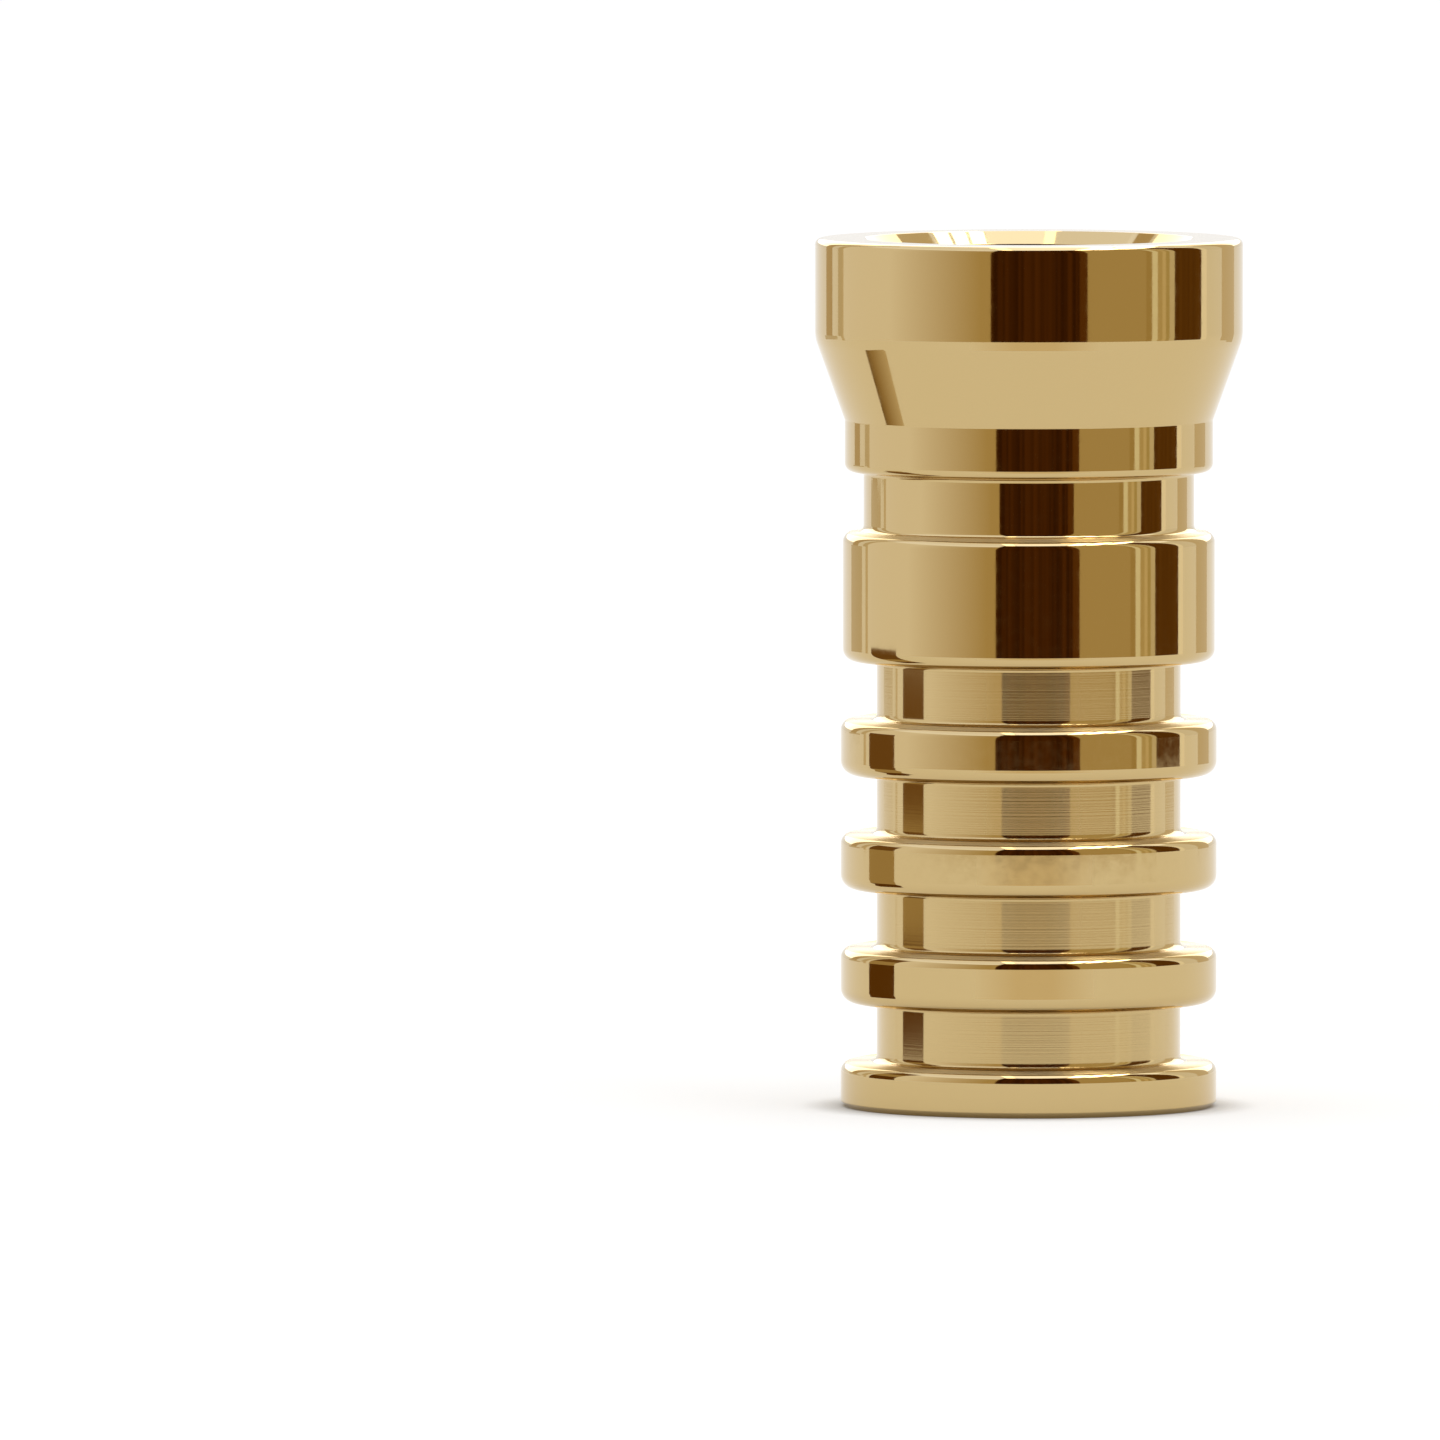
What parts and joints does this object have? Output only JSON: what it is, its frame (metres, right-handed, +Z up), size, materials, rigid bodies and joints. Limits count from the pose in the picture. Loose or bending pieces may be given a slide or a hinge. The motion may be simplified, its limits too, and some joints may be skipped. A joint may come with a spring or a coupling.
{
  "type": "turned sleeve",
  "caption": "Turned brass sleeve with a flared head, square outer grooves and a stepped through bore that takes a round spigot at the head.",
  "frame": {"origin": "centre of the flat bottom face, on the turning axis", "axes": "+Z up along the turning axis, from the foot to the open head; X and Y are any two directions across it"},
  "size_m": [0.0136, 0.0136, 0.0277],
  "materials": {
    "polished_brass": "turned and polished, mirror bright on the lands, finely ringed on the groove floors"
  },
  "bodies": {
    "root": {"turned_sleeve": "polished_brass"}
  },
  "joints": []
}
